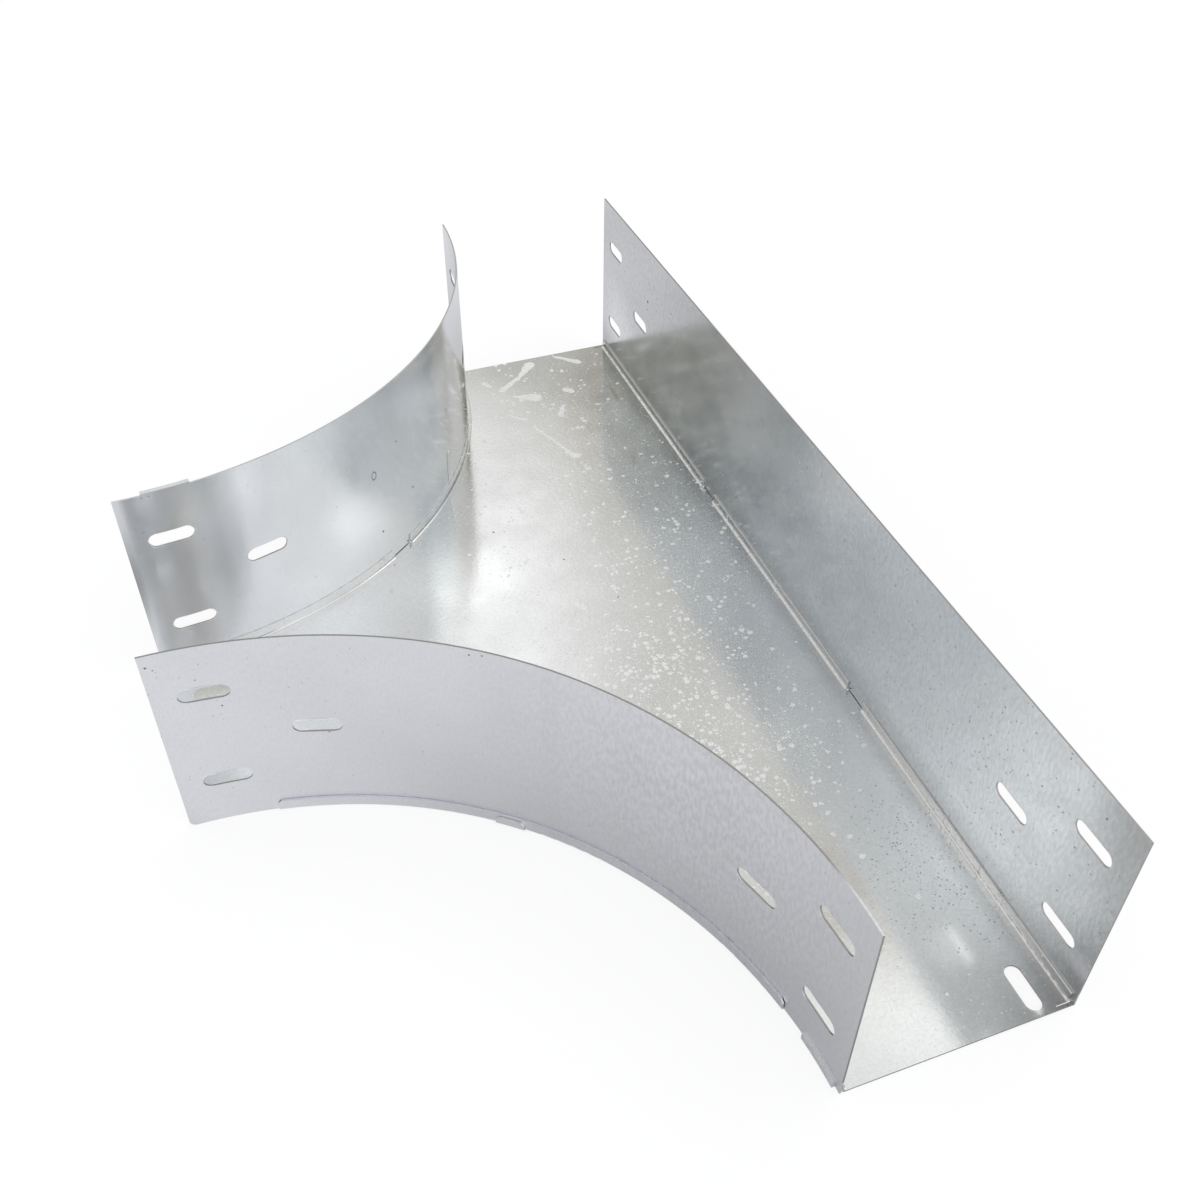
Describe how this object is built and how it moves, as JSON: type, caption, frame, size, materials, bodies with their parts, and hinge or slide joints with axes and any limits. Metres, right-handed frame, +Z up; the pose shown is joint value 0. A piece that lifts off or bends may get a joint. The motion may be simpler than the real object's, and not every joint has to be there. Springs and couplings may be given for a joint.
{
  "type": "cable tray tee",
  "caption": "Sheet-steel cable tray tee, open on top, with a T-shaped floor, one straight and two curved side walls, and bolt slots near every open end.",
  "frame": {"origin": "on the underside of the floor, where the centre lines of the run and the branch cross", "axes": "+X along the run, +Y from the branch opening to the straight back wall, +Z up out of the tray"},
  "size_m": [0.5, 0.302, 0.1008],
  "materials": {
    "galvanised_sheet": "bright galvanised sheet, slightly wavy and speckled"
  },
  "bodies": {
    "root": {"base_plate": "galvanised_sheet", "back_wall": "galvanised_sheet", "right_curved_wall": "galvanised_sheet", "left_curved_wall": "galvanised_sheet"}
  },
  "joints": []
}
